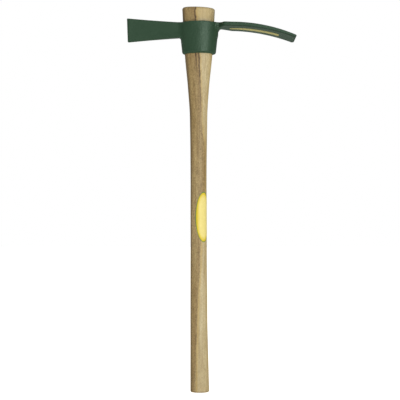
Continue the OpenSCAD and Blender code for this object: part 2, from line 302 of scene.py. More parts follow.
def add_attribute(piece, name, values):
    """One number per vertex, which the piece's material reads by this name."""
    attribute = piece.data.attributes.new(name, "FLOAT", "POINT")
    attribute.data.foreach_set("value", np.asarray(values, np.float32).ravel())


def add_uv(piece, uv):
    """A UV map from one pair of numbers per vertex."""
    corner = np.zeros(len(piece.data.loops), np.int32)
    piece.data.loops.foreach_get("vertex_index", corner)
    layer = piece.data.uv_layers.new(name="sticker")
    layer.data.foreach_set("uv", uv[corner].astype(np.float32).ravel())


def seat(piece, node, body):
    """The piece moves with its body and stands for one node of the model."""
    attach(piece, body)
    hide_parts(node)


# Distance fields of the forging: negative inside, in millimetres. Floors keep the middle of an oval finite.
LEAST_LEVEL = 1e-9
LEAST_SLOPE = 0.3


def rounded_meet(a, b, radius):
    """Inside both a and b: the larger distance, but a circle of the radius round the edge they share."""
    edge = np.hypot(np.maximum(a + radius, 0), np.maximum(b + radius, 0))
    return edge + np.minimum(np.maximum(a, b), -radius)


def filleted_join(a, b, radius):
    """Inside a or b: the smaller distance, but a hollow circle of the radius along their inner corner."""
    corner = np.hypot(np.maximum(radius - a, 0), np.maximum(radius - b, 0))
    return np.maximum(np.minimum(a, b), radius) - corner


def oval_distance(x, y, half_w, half_d, power):
    """Distance to the oval |x / half_w|^power + |y / half_d|^power = 1, to first order: how far its level
    is from one, over the level's slope."""
    u = np.abs(x) / half_w
    v = np.abs(y) / half_d
    level = np.maximum(u**power + v**power, LEAST_LEVEL) ** (1 / power)
    slope = level ** (1 - power) * np.hypot(u ** (power - 1) / half_w, v ** (power - 1) / half_d)
    return (level - 1) / np.maximum(slope, LEAST_SLOPE / half_w)


def long_edge_round(thick):
    """Radius along a blade's edges: a share of its thickness, between the least and the full radius."""
    return np.clip(ROUND_SHARE * thick, LEAST_ROUND, BLADE_ROUND)


def eye_end(z):
    """Half the eye's outer length at a height."""
    share = (z - EYE_LOW) / EYE_H
    return handle_section(z)[0] + EYE_FIT + mix(END_WALL_LOW, END_WALL_HIGH, share)


# Roots, bend and heights of the two blades, worked out from the eye
AXE_EYE_X = float(eye_end(np.array(EYE_TOP - AXE_ROOT_H / 2))) - EYE_OFFSET
AXE_BEVEL_X = AXE_REACH - AXE_BEVEL_W
AXE_BURY_X = AXE_EYE_X - AXE_BURY
ADZE_X = float(eye_end(np.array(EYE_TOP))) + EYE_OFFSET
ADZE_Z = EYE_TOP - ADZE_DROP
ADZE_LEN = ADZE_ROOT_RUN + ADZE_BEND_R * ADZE_BEND + ADZE_TIP_RUN
ADZE_BEVEL_S = ADZE_LEN - ADZE_BEVEL_W
ADZE_BURY_X = ADZE_X - ADZE_BURY
ADZE_BEND_X = ADZE_X + ADZE_ROOT_RUN * np.cos(ADZE_SLOPE) - ADZE_BEND_R * np.sin(ADZE_SLOPE)
ADZE_BEND_Z = ADZE_Z - ADZE_ROOT_RUN * np.sin(ADZE_SLOPE) - ADZE_BEND_R * np.cos(ADZE_SLOPE)
THROAT_Z = ADZE_Z - THROAT_DROP


def rim_sag(x):
    """How far both rims dip towards the eye's ends, on a parabola."""
    return EYE_SAG * np.minimum(np.abs(x - EYE_OFFSET) / ADZE_X, 1) ** 2


def eye_wall(x, y, z):
    """The eye's outside: a blunt oval that follows the handle's taper, cut off at its rounded lower rim."""
    half_d = handle_section(z)[1] + EYE_FIT + CHEEK_WALL
    wall = oval_distance(x - EYE_OFFSET, y, eye_end(z), half_d, EYE_BLUNT)
    return rounded_meet(wall, EYE_LOW - rim_sag(x) - z, LOW_RIM_ROUND)


def eye_hole(x, y, z):
    """The tapered oval hole, the handle's own section with the fit round it."""
    half_w, half_d, offset = handle_section(z)
    return oval_distance(x - offset, y, half_w + EYE_FIT, half_d + EYE_FIT, 2)


def axe_share(out):
    """Share of the way from the eye out to the axe's edge, zero inside the eye."""
    return np.maximum(0, (out - AXE_EYE_X) / (AXE_REACH - AXE_EYE_X))


def head_top(x):
    """Height of the head's upper outline: the eye's dipping rim, which levels out at the axe's root and falls
    to the top of the adze, and along the axe a rise at a power of the way out."""
    dip = rim_sag(x) * (1 - rise(-x, AXE_EYE_X - RIM_LEVEL_RUN / 2, RIM_LEVEL_RUN))
    rim = mix(EYE_TOP - dip, ADZE_Z + ADZE_SADDLE, rise(x, RIM_FALL_X, RIM_FALL_RUN))
    return rim + AXE_RISE * axe_share(-x) ** AXE_HOLLOW


def axe_blade(x, y, z):
    """An upright wedge: its upper and lower edges spread at a power of the way out, its thickness falls at
    another power of the way left to the bevel, evenly down the bevel, and its edge is raked."""
    out = -x
    share = axe_share(out) ** AXE_HOLLOW
    top = EYE_TOP + AXE_RISE * share
    low = mix(EYE_TOP - AXE_ROOT_H, EYE_TOP + AXE_RISE - AXE_EDGE_H, share)
    left = np.clip((AXE_BEVEL_X - out) / (AXE_BEVEL_X - AXE_EYE_X), 0, 1)
    wedge = mix(AXE_BEVEL_T, AXE_ROOT_T, left**AXE_TAPER)
    bevel = mix(AXE_BEVEL_T, AXE_EDGE_T, (out - AXE_BEVEL_X) / AXE_BEVEL_W)
    thick = np.minimum(wedge, bevel)
    edge = out - AXE_REACH + AXE_RAKE * np.clip((top - z) / (top - low), 0, 1)
    top_corner = CORNER_ROUND * (out > AXE_BEVEL_X - AXE_BEVEL_W)
    outline = rounded_meet(rounded_meet(edge, low - z, CORNER_ROUND), z - top, top_corner)
    blade = rounded_meet(outline, np.abs(y) - thick / 2, long_edge_round(thick))
    return np.maximum(blade, AXE_BURY_X - out)


def adze_place(x, z):
    """Where a point lies on the bent blade: how far along its top face, and how deep below it. The turn
    about the bend's centre, held between its two ends, gives the heading; what is over runs straight."""
    dx = x - ADZE_BEND_X
    dz = z - ADZE_BEND_Z
    heading = np.clip(np.arctan2(dx, dz), ADZE_SLOPE, ADZE_SLOPE + ADZE_BEND)
    ahead = dx * np.cos(heading) - dz * np.sin(heading)
    along = ADZE_ROOT_RUN + ADZE_BEND_R * (heading - ADZE_SLOPE) + ahead
    deep = ADZE_BEND_R - dx * np.sin(heading) - dz * np.cos(heading)
    return along, deep


def adze_point(along, across, deep):
    """The point that lies so far along the blade's top face, across it and below it."""
    heading = ADZE_SLOPE + np.clip((along - ADZE_ROOT_RUN) / ADZE_BEND_R, 0, ADZE_BEND)
    ahead = along - ADZE_ROOT_RUN - ADZE_BEND_R * (heading - ADZE_SLOPE)
    up = ADZE_BEND_R - deep
    x = ADZE_BEND_X + up * np.sin(heading) + ahead * np.cos(heading)
    z = ADZE_BEND_Z + up * np.cos(heading) - ahead * np.sin(heading)
    return np.stack(np.broadcast_arrays(x, across, z), -1)


def adze_thickness(along):
    """Thickness along the blade: it eases from the neck's to the body's, thins from there at a power of the
    way to the bevel, and evenly down the bevel."""
    full = mix(ADZE_NECK_T, ADZE_BODY_T, ease(along / ADZE_BODY_S))
    share = np.clip((along - ADZE_BODY_S) / (ADZE_BEVEL_S - ADZE_BODY_S), 0, 1)
    thin = (ADZE_BODY_T - ADZE_BEVEL_T) * share**ADZE_TAPER
    bevel = (ADZE_BEVEL_T - ADZE_EDGE_T) * np.maximum(0, (along - ADZE_BEVEL_S) / ADZE_BEVEL_W)
    return full - thin - bevel


def adze_plan(along, y):
    """Distance to the blade's outline in plan: a neck that flares at a power of the way out to the shoulders,
    soon on the near side and slowly on the far one, and sides that spread evenly to the edge, which stands a
    little out of square."""
    shoulder = np.where(y < 0, ADZE_NEAR_SHOULDER_S, ADZE_FAR_SHOULDER_S)
    share = np.clip(along / shoulder, 0, ADZE_FLARE_END)
    widening = (ADZE_SHOULDER_W - ADZE_NECK_W) / 2
    flare_w = ADZE_NECK_W / 2 + widening * share**ADZE_FLARE
    lean = widening * ADZE_FLARE * share ** (ADZE_FLARE - 1) / shoulder
    flare = (np.abs(y) - flare_w) / np.hypot(1, lean)
    spread = (along - ADZE_NEAR_SHOULDER_S) / (ADZE_LEN - ADZE_NEAR_SHOULDER_S)
    side = np.abs(y) - mix(ADZE_SHOULDER_W, ADZE_EDGE_W, spread) / 2
    plan = rounded_meet(flare, side, ADZE_SHOULDER_ROUND)
    return rounded_meet(plan, along - ADZE_SKEW * y - ADZE_LEN, CORNER_ROUND)


def adze_blade(x, y, z):
    """A bent plate: its outline in plan, the thickness along the blade in depth, bevelled from below, a
    saddle on top where it runs up to the eye's rim, and lower edges that are rounder at the shoulders."""
    along, deep = adze_place(x, z)
    thick = adze_thickness(along)
    top_round = long_edge_round(thick)
    low_round = mix(ADZE_LOW_ROUND, top_round, rise(along, ADZE_LOW_ROUND_S, ADZE_LOW_ROUND_RUN))
    saddle = ADZE_SADDLE * fall(along, ADZE_SADDLE_S, ADZE_SADDLE_RUN)
    plate = rounded_meet(adze_plan(along, y), -deep - saddle, top_round)
    plate = rounded_meet(plate, deep - thick, low_round)
    return np.maximum(plate, ADZE_BURY_X - x)


def forged_head(x, y, z):
    """Eye, axe and adze joined with fillets, wide under the adze and tight on its cheeks, with a slight bulge
    in the throat, cut at the upper outline, with the hole through the eye."""
    adze_side = rise(x, ADZE_FILLET_X, ADZE_FILLET_RUN)
    body = filleted_join(eye_wall(x, y, z), axe_blade(x, y, z), AXE_FILLET)
    body = body - THROAT_BULGE * fall(np.abs(z - THROAT_Z), THROAT_RUN, THROAT_RUN) * adze_side
    below = fall(z, ADZE_Z - ADZE_FILLET_DROP, ADZE_FILLET_RUN) * adze_side
    body = filleted_join(body, adze_blade(x, y, z), mix(ADZE_CHEEK_FILLET, ADZE_UNDER_FILLET, below))
    body = rounded_meet(body, z - head_top(x), HIGH_RIM_ROUND)
    return rounded_meet(body, -eye_hole(x, y, z), HOLE_ROUND)


# Mesh of the forging: room round its box, grid step, and how its points settle on to the surface
HEAD_MARGIN = 4.0
HEAD_STEP = 1.05
SETTLE_ROUNDS = 4
SLOPE_STEP = 0.05
LEAST_STEEP = 0.2


def zero_surface(field, low, high, step):
    """Mesh of a field's zero level: one point in each grid cell that it crosses, at the mean of the places
    where it crosses the cell's edges, and one quad round each grid edge whose two ends differ in sign."""
    axes = [np.arange(a, b + step, step) for a, b in zip(low, high)]
    values = field(*np.meshgrid(*axes, indexing="ij", sparse=True))
    inside = (values < 0).astype(np.int8)
    cells = tuple(n - 1 for n in values.shape)
    corners = np.array([[i, j, k] for i in (0, 1) for j in (0, 1) for k in (0, 1)])
    count = np.zeros(cells, np.int8)
    for corner in corners:
        count += inside[tuple(slice(s, s + n) for s, n in zip(corner, cells))]
    crossed = np.argwhere((count > 0) & (count < len(corners)))
    number = np.full(cells, -1, np.int64)
    number[tuple(crossed.T)] = np.arange(len(crossed))

    total = np.zeros((len(crossed), 3))
    hits = np.zeros((len(crossed), 1))
    edges = [(a, b) for a in corners for b in corners if (b >= a).all() and (b - a).sum() == 1]
    for a, b in edges:
        value_a = values[tuple((crossed + a).T)][:, None]
        value_b = values[tuple((crossed + b).T)][:, None]
        cut = (value_a < 0) != (value_b < 0)
        share = np.where(cut, value_a / np.where(cut, value_a - value_b, 1), 0)
        total += np.where(cut, mix(a, b, share), 0)
        hits += cut
    points = np.array(low) + step * (crossed + total / hits)

    quads = []
    for axis in range(3):
        change = np.diff(inside, axis=axis)
        edge = np.argwhere(change)
        leaves = change[tuple(edge.T)] < 0
        one, two = np.eye(3, dtype=int)[[(axis + 1) % 3, (axis + 2) % 3]]
        ring = [edge - one - two, edge - two, edge, edge - one]
        faces = np.stack([number[tuple(cell.T)] for cell in ring], -1)
        quads.append(np.where(leaves[:, None], faces, faces[:, ::-1]))
    return points, np.vstack(quads)


def slopes(field, points):
    """Slope of a field at points, from the difference across each."""
    columns = []
    for axis in np.eye(3) * SLOPE_STEP:
        columns.append((field(*(points + axis).T) - field(*(points - axis).T)) / (2 * SLOPE_STEP))
    return np.stack(columns, -1)


def settle(field, points):
    """Points moved on to the zero level in a few steps along the field's slope, each the field over it."""
    for _ in range(SETTLE_ROUNDS):
        slope = slopes(field, points)
        steep = np.maximum((slope**2).sum(-1), LEAST_STEEP)
        points = points - (field(*points.T) / steep)[:, None] * slope
    return points


# Colours of the enamel, and the heights of its bumps in millimetres
ENAMEL_DEEP = (0.0150, 0.0395, 0.0200, 1)
ENAMEL_LIGHT = (0.0195, 0.0465, 0.0245, 1)
ENAMEL_SPECK = (0.030, 0.062, 0.034, 1)
# Painted shade: the enamel's colour in the hollows beside the adze's neck, along its lower edges and under
# the neck
ENAMEL_SHADE = (0.0080, 0.0150, 0.0095, 1)
ENAMEL_SHINE = (0.78, 1.0, 0.82, 1)
FORGING_WAVE_H = 0.15
ORANGE_PEEL_H = 0.6

# Colours of the wood, where the dapple and the dark lines are multiplied in, the second vein's depth inside
# the heart, and the heights of the grain
HEART_DARK = (0.213, 0.145, 0.052, 1)
HEART_LIGHT = (0.360, 0.266, 0.117, 1)
HEART_CURL = (0.190, 0.120, 0.043, 1)
HEART_PALE = (0.40, 0.32, 0.165, 1)
SAP_DARK = (0.368, 0.290, 0.144, 1)
SAP_LIGHT = (0.515, 0.440, 0.262, 1)
SAP_CURL = (0.370, 0.275, 0.130, 1)
GOLD_BAND = (0.415, 0.290, 0.090, 1)
DUSK_BAND = (0.205, 0.124, 0.040, 1)
CLOUD_BROWN = (0.290, 0.200, 0.080, 1)
FLECK_BROWN = (0.140, 0.090, 0.036, 1)
DAPPLE_DARK = (0.68, 0.66, 0.60, 1)
DAPPLE_LIGHT = (1.32, 1.33, 1.37, 1)
DARK_LINE = (0.66, 0.60, 0.52, 1)
# Painted shade: a dark brown for shade along the handle's rims, and on the heart by the veins and above the
# eye
WOOD_SHADE_BROWN = (0.125, 0.083, 0.032, 1)
# A warm brown for the golden band above the eye, the wood's own, and for painted shade along the right edge
GILT_AND_SHADE_BROWN = (0.400, 0.285, 0.090, 1)
VEIN_STAIN = (0.190, 0.110, 0.036, 1)
VEIN_GUM = (0.060, 0.035, 0.016, 1)
# A dark brown for the end grain at the butt, which also paints shade along the butt's bottom edge
END_GRAIN_AND_SHADE = (0.110, 0.075, 0.034, 1)
SECOND_VEIN_DEPTH = 7.2
STREAK_H = 0.2
FLECK_H = 0.1

# Colours of the stickers, and where the oval's change, in shares of the way out from its middle
OVAL_MIDDLE = (0.71, 0.61, 0.21, 1)
OVAL_FIELD = (0.65, 0.51, 0.065, 1)
OVAL_EDGE = (0.555, 0.415, 0.008, 1)
OVAL_RIM = (0.05, 0.19, 0.05, 1)
FIELD_FROM = (0.42, 0.72)
EDGE_FROM = (0.68, 0.84)
RIM_FROM = (0.915, 0.927)
# The strip's yellow is painted darker and duller, as in shade under the adze
STRIP_SHADED_YELLOW = (0.3173, 0.2893, 0.1021, 1)
STRIP_SHADED_DULL = (0.31, 0.282, 0.097, 1)
MOTTLE_SHARE = 0.12
MOTTLE_H = 0.006


def new_material(name):
    """A material with its node tree and its shader."""
    material = bpy.data.materials.new(name)
    material.use_nodes = True
    tree = material.node_tree
    return material, tree, tree.nodes["Principled BSDF"]


def node(tree, kind, inputs, **settings):
    """Adds a node, sets its properties, and sets or links its inputs."""
    made = tree.nodes.new(kind)
    for name, value in settings.items():
        setattr(made, name, value)
    for key, value in inputs.items():
        if isinstance(value, bpy.types.NodeSocket):
            tree.links.new(value, made.inputs[key])
        else:
            made.inputs[key].default_value = value
    return made


def object_place(tree):
    """The place on the piece, in metres."""
    return node(tree, "ShaderNodeTexCoord", {}).outputs["Object"]


def noise(tree, place, scale, detail=2.0, rough=0.5, up=1.0):
    """Noise of about scale spots a metre, and up times as many up the handle: a small up draws streaks."""
    spread = node(tree, "ShaderNodeMapping", {"Vector": place, "Scale": (1, 1, up)})
    inputs = {"Vector": spread.outputs[0], "Scale": scale, "Detail": detail, "Roughness": rough}
    return node(tree, "ShaderNodeTexNoise", inputs).outputs["Fac"]


def span(tree, value, low, high, to_low=0.0, to_high=1.0):
    """Maps a value's range on to another, held at its two ends."""
    inputs = {"Value": value, 1: low, 2: high, 3: to_low, 4: to_high}
    return node(tree, "ShaderNodeMapRange", inputs).outputs[0]


def carried(tree, name):
    """The value that each point of the piece carries under this name."""
    return node(tree, "ShaderNodeAttribute", {}, attribute_name=name).outputs["Fac"]


def blend_colour(tree, share, first, second, how="MIX"):
    """The first colour with a share of the second, mixed or multiplied in."""
    inputs = {0: share, 6: first, 7: second}
    return node(tree, "ShaderNodeMix", inputs, data_type="RGBA", blend_type=how).outputs[2]


def combine(tree, how, first, second=0.0):
    """One number from one or two, by the named operation."""
    return node(tree, "ShaderNodeMath", {0: first, 1: second}, operation=how).outputs[0]


def bump(tree, pattern, height, under=None):
    """A normal that leans with a pattern so many millimetres high, over the bump under it."""
    inputs = {"Height": pattern, "Distance": height * MM, "Strength": 1.0}
    if under is not None:
        inputs["Normal"] = under
    return node(tree, "ShaderNodeBump", inputs).outputs[0]


def green_enamel():
    """Semi-gloss dark green enamel on a forging: slow tone changes, fine specks, painted shade that also
    dulls the paint in the neck's hollows and along the adze's lower edges, forging waves, and an orange peel
    where the skin is rough."""
    material, tree, shader = new_material("green_enamel")
    place = object_place(tree)
    slow = noise(tree, place, 28, detail=4.0, rough=0.6)
    fine = noise(tree, place, 700, rough=0.6)
    enamel_shade = carried(tree, "enamel_shade")
    tone = blend_colour(tree, span(tree, slow, 0.3, 0.7), ENAMEL_DEEP, ENAMEL_LIGHT)
    tone = blend_colour(tree, span(tree, fine, 0.45, 0.75, 0, 0.35), tone, ENAMEL_SPECK)
    # Painted shade in the hollows beside the neck, along the adze's lower edges and under the neck
    tone = blend_colour(tree, enamel_shade, tone, ENAMEL_SHADE)
    tree.links.new(tone, shader.inputs["Base Color"])
    speckle = span(tree, noise(tree, place, 300, detail=3.0), 0.3, 0.7, 0.27, 0.52)
    dull = combine(tree, "MULTIPLY", enamel_shade, 0.3)
    tree.links.new(combine(tree, "ADD", speckle, dull), shader.inputs["Roughness"])
    shader.inputs["Specular Tint"].default_value = ENAMEL_SHINE
    shader.inputs["Specular IOR Level"].default_value = 0.62
    waves = bump(tree, noise(tree, place, 45), FORGING_WAVE_H)
    peel = combine(tree, "MULTIPLY", noise(tree, place, 260), carried(tree, "rough_skin"))
    tree.links.new(bump(tree, peel, ORANGE_PEEL_H, waves), shader.inputs["Normal"])
    return material


def oiled_hardwood():
    """Hardwood under a thin clear coat, from the depth past the heartwood's edge that each point carries:
    brown heart, gum veins along its edge, a golden band and pale sapwood, with streaks up the handle, and
    painted shade along its rims, on the heart by the veins and along the butt's bottom edge."""
    material, tree, shader = new_material("oiled_hardwood")
    place = object_place(tree)
    wander = noise(tree, place, 120, detail=4.0, rough=0.65, up=0.5)
    depth = combine(tree, "ADD", carried(tree, "heart_depth"), span(tree, wander, 0.2, 0.8, -2.2, 2.2))
    streak = noise(tree, place, 260, detail=4.0, rough=0.65, up=0.05)
    curl = noise(tree, place, 150, detail=4.0, rough=0.6, up=0.2)
    mottle = noise(tree, place, 430, detail=3.0, rough=0.65, up=0.6)
    fleck = noise(tree, place, 800, detail=3.0, rough=0.6, up=0.12)
    cloud = noise(tree, place, 34, detail=3.0, up=0.16)
    line = noise(tree, place, 400, up=0.014)

    heart = blend_colour(tree, span(tree, streak, 0.3, 0.7), HEART_DARK, HEART_LIGHT)
    heart = blend_colour(tree, span(tree, curl, 0.42, 0.7, 0, 0.6), heart, HEART_CURL)
    heart = blend_colour(tree, carried(tree, "pale_heart"), heart, HEART_PALE)
    sap = blend_colour(tree, span(tree, streak, 0.3, 0.7), SAP_DARK, SAP_LIGHT)
    sap = blend_colour(tree, span(tree, curl, 0.45, 0.7, 0, 0.5), sap, SAP_CURL)
    tone = blend_colour(tree, span(tree, depth, -1.0, 1.4), heart, sap)
    gold = combine(tree, "MULTIPLY", span(tree, depth, -0.2, 1.2), span(tree, depth, 7, 2.5))
    tone = blend_colour(tree, combine(tree, "MULTIPLY", gold, 0.7), tone, GOLD_BAND)
    dusk = combine(tree, "MULTIPLY", span(tree, depth, -9, -5.5), span(tree, depth, -1.5, -4))
    dusk = combine(tree, "MULTIPLY", dusk, span(tree, carried(tree, "calm_heart"), 0, 1, 0.4, 0))
    tone = blend_colour(tree, dusk, tone, DUSK_BAND)
    tone = blend_colour(tree, span(tree, cloud, 0.4, 0.65, 0, 0.2), tone, CLOUD_BROWN)
    tone = blend_colour(tree, span(tree, fleck, 0.60, 0.74, 0, 0.4), tone, FLECK_BROWN)
    dapple = blend_colour(tree, span(tree, mottle, 0.32, 0.68), DAPPLE_DARK, DAPPLE_LIGHT)
    tone = blend_colour(tree, span(tree, depth, -1.0, 2.0, 1.0, 0.5), tone, dapple, "MULTIPLY")
    tone = blend_colour(tree, span(tree, line, 0.54, 0.72, 0, 0.6), tone, DARK_LINE, "MULTIPLY")
    # Painted shade along the rims, and on the heart by the veins and above the eye
    tone = blend_colour(tree, carried(tree, "painted_wood_shade"), tone, WOOD_SHADE_BROWN)
    # Golden band above the eye, and painted shade along the right edge
    tone = blend_colour(tree, carried(tree, "gilt_and_edge_shade"), tone, GILT_AND_SHADE_BROWN)

    def beside(off, near, far, most, vein):
        """Most within near of a vein, nothing past far, times how strong the vein is there."""
        return combine(tree, "MULTIPLY", span(tree, off, near, far, most, 0), vein)

    off_main = combine(tree, "ABSOLUTE", depth)
    off_second = combine(tree, "ABSOLUTE", combine(tree, "ADD", depth, SECOND_VEIN_DEPTH))
    main = carried(tree, "main_vein")
    second = carried(tree, "second_vein")
    main_stain = beside(off_main, 1, 4, 0.45, main)
    second_stain = beside(off_second, 1, 4, 0.45, second)
    tone = blend_colour(tree, combine(tree, "MAXIMUM", main_stain, second_stain), tone, VEIN_STAIN)
    main_gum = beside(off_main, 0.8, 1.7, 1, main)
    second_gum = beside(off_second, 0.7, 1.6, 1, second)
    gum = combine(tree, "MAXIMUM", main_gum, second_gum)
    beads = span(tree, noise(tree, place, 200, up=0.6), 0.35, 0.55, 0.6, 1)
    tone = blend_colour(tree, combine(tree, "MULTIPLY", gum, beads), tone, VEIN_GUM)
    # Darker end grain at the butt, with painted shade along its bottom edge
    tone = blend_colour(tree, carried(tree, "end_grain_and_shade"), tone, END_GRAIN_AND_SHADE)
    tree.links.new(tone, shader.inputs["Base Color"])
    tree.links.new(span(tree, streak, 0.3, 0.7, 0.42, 0.58), shader.inputs["Roughness"])
    shader.inputs["Coat Weight"].default_value = 0.08
    shader.inputs["Coat Roughness"].default_value = 0.35
    grain = bump(tree, streak, STREAK_H)
    tree.links.new(bump(tree, fleck, FLECK_H, grain), shader.inputs["Normal"])
    return material


def vinyl_mottle(tree):
    """The faint mottle of a sticker, and the share of its duller colour."""
    mottle = noise(tree, object_place(tree), 420, detail=3.0)
    return mottle, span(tree, mottle, 0.3, 0.7, 0, MOTTLE_SHARE)


def finish_vinyl(tree, shader, tone, mottle):
    """The printed tone, with a gloss and a very fine bump that follow the mottle."""
    tree.links.new(tone, shader.inputs["Base Color"])
    tree.links.new(span(tree, mottle, 0.3, 0.7, 0.38, 0.5), shader.inputs["Roughness"])
    tree.links.new(bump(tree, mottle, MOTTLE_H), shader.inputs["Normal"])
    shader.inputs["Specular IOR Level"].default_value = 0.3


def oval_vinyl():
    """Sticker that is pale in the middle, then yellow, deeper yellow and green at the rim, with a faint
    mottle. The share of the way out is the length of its UV place."""
    material, tree, shader = new_material("oval_sticker")
    place = node(tree, "ShaderNodeTexCoord", {}).outputs["UV"]
    out = node(tree, "ShaderNodeVectorMath", {0: place}, operation="LENGTH").outputs["Value"]
    mottle, dull = vinyl_mottle(tree)
    tone = blend_colour(tree, span(tree, out, *FIELD_FROM), OVAL_MIDDLE, OVAL_FIELD)
    tone = blend_colour(tree, span(tree, out, *EDGE_FROM), tone, OVAL_EDGE)
    tone = blend_colour(tree, dull, tone, OVAL_FIELD)
    tone = blend_colour(tree, span(tree, out, *RIM_FROM), tone, OVAL_RIM)
    finish_vinyl(tree, shader, tone, mottle)
    return material


def strip_vinyl():
    """Plain yellow sticker, painted darker and duller as in shade, with a faint mottle."""
    material, tree, shader = new_material("strip_sticker")
    mottle, dull = vinyl_mottle(tree)
    finish_vinyl(tree, shader, blend_colour(tree, dull, STRIP_SHADED_YELLOW, STRIP_SHADED_DULL), mottle)
    return material


# Where the wood's finish and its painted shade change. A pair is the start and run of a rise, or the end and
# run of a fall, and four numbers are a band. Heights are up the handle, depths are past the heartwood's edge,
# and sides are shares of the half width, from the middle out.
ABOVE_EYE = (EYE_TOP, 10.0)
BROAD_RIM_HEIGHTS = (430.0, 120.0, EYE_TOP, 30.0)
SLIM_RIM_SIDE = (0.78, 0.14)
BROAD_RIM_SIDE = (0.68, 0.24)
# Painted shade along the handle's left and right rims, and on the heart by the veins and above the eye
LEFT_RIM_SHADE = 0.8
RIGHT_RIM_SIDE = (0.7, 0.25)
RIGHT_RIM_HEIGHTS = (450.0, 40.0, 620.0, 40.0)
RIGHT_RIM_SHADE = 0.35
VEIN_SHADE_DEPTHS = (-18.0, 5.0, 1.0, 2.0)
VEIN_SHADE_HEIGHTS = (650.0, 30.0, 800.0, 15.0)
TOP_SHADE_DEPTH = (0.0, 2.0)
HEART_SHADE_DARK = 0.12
GILT_DEPTH = (0.0, 4.0)
GILT_FADE_DEPTH = (4.0, 10.0)
GILT_EDGE_WARM = 0.55
GILT_FAR_WARM = 0.35
# Painted shade along the right edge below the eye, in a warm brown
RIGHT_EDGE_SIDE = (0.65, 0.35)
RIGHT_EDGE_SHADE = 0.45
PALE_HEART_HEIGHTS = (240.0, 80.0, 550.0, 50.0)
PALE_HEART_SIDE = (-0.2, 0.4)
PALE_HEART_SHARE = 0.2
CALM_HEART_HEIGHTS = (450.0, 60.0, 640.0, 60.0)
# Darker end grain at the butt, with painted shade along its bottom edge
END_GRAIN_AND_SHADE_HEIGHT = (4.5, 4.0)
END_GRAIN_AND_SHADE_SHARE = 0.6
VEIN_FAINT = 0.15
VEIN_CLEAR = 0.35
VEIN_CLEAR_HEIGHT = (640.0, 40.0)
VEIN_DARK = 0.45
VEIN_DARK_HEIGHT = (715.0, 25.0)
SECOND_VEIN_HEIGHTS = (740.0, 35.0, 850.0, 30.0)
SECOND_VEIN_DARK = 0.9

# Where painted shade darkens the enamel and the eye keeps a rough skin, in the same form: lengths along the
# adze, depths below its top face, heights above its lower face, and places across the head and out from the
# eye
HOLLOW_START = (-2.0, 3.0)
HOLLOW_END = (13.0, 6.0)
HOLLOW_DEPTH = (16.0, 5.0)
HOLLOW_ACROSS = (15.0, 5.0)
HOLLOW_SHADE = 0.32
LOW_EDGE_WIDTH = (3.0, 1.5)
LOW_EDGE_START = (4.0, 10.0)
LOW_EDGE_SHADE = 0.6
NECK_SHADE = (-2.0, 3.0, 38.0, 20.0)
NECK_SHADE_HEIGHT = (0.0, 3.0)
NECK_SHADE_DARK = 0.2
ROUGH_SKIN_OUT = (49.0, 6.0)

# Rows and sides of the meshes
HANDLE_SIDES = 160
SHAFT_ROWS = 400
EDGE_ROWS = 9
CAP_ROWS = 13
CAP_START = 0.08
OVAL_RINGS = 24
OVAL_SPOKES = 96
STRIP_ROWS = 80
STRIP_COLUMNS = 16


def finish_wood(handle, points):
    """What the points of the handle carry for its finish and its painted shade. The depth past the
    heartwood's edge is the place across, less the edge's on the front, and more towards the back by a signed
    square."""
    x, y, z = points.T
    half_w, half_d, offset = handle_section(z)
    bow = (y * np.abs(y) + half_d**2) / HEART_BOW
    depth = x - smooth_through(HEART_EDGE, z)[:, 0] + bow
    add_attribute(handle, "heart_depth", depth)

    left = (offset - x) / half_w
    above = rise(z, *ABOVE_EYE)
    broad = band(z, *BROAD_RIM_HEIGHTS)
    rim_start, rim_run = (mix(slim, wide, broad) for slim, wide in zip(SLIM_RIM_SIDE, BROAD_RIM_SIDE))
    # Painted shade along the left and right rims, and on the heart by the veins and above the eye
    left_rim_shade = LEFT_RIM_SHADE * rise(left, rim_start, rim_run)
    right_rim_shade = RIGHT_RIM_SHADE * rise(-left, *RIGHT_RIM_SIDE) * band(z, *RIGHT_RIM_HEIGHTS)
    by_veins = band(depth, *VEIN_SHADE_DEPTHS) * band(z, *VEIN_SHADE_HEIGHTS)
    heart_shade = HEART_SHADE_DARK * np.maximum(by_veins, above * fall(depth, *TOP_SHADE_DEPTH))
    add_attribute(handle, "painted_wood_shade", np.maximum(left_rim_shade + right_rim_shade, heart_shade))

    gilt_warm = mix(GILT_EDGE_WARM, GILT_FAR_WARM, rise(depth, *GILT_FADE_DEPTH))
    gilt = above * rise(depth, *GILT_DEPTH) * gilt_warm
    # Painted shade along the right edge below the eye; the golden band above the eye is the wood's own
    right_edge_shade = rise(-left, *RIGHT_EDGE_SIDE)
    add_attribute(handle, "gilt_and_edge_shade", mix(gilt, RIGHT_EDGE_SHADE * (1 - above), right_edge_shade))

    pale = band(z, *PALE_HEART_HEIGHTS) * rise(left, *PALE_HEART_SIDE)
    add_attribute(handle, "pale_heart", PALE_HEART_SHARE * pale)
    add_attribute(handle, "calm_heart", band(z, *CALM_HEART_HEIGHTS))
    # Darker end grain at the butt, with painted shade along its bottom edge
    add_attribute(handle, "end_grain_and_shade", END_GRAIN_AND_SHADE_SHARE * fall(z, *END_GRAIN_AND_SHADE_HEIGHT))
    stronger = VEIN_CLEAR * rise(z, *VEIN_CLEAR_HEIGHT) + VEIN_DARK * rise(z, *VEIN_DARK_HEIGHT)
    add_attribute(handle, "main_vein", VEIN_FAINT + stronger)
    add_attribute(handle, "second_vein", SECOND_VEIN_DARK * band(z, *SECOND_VEIN_HEIGHTS))


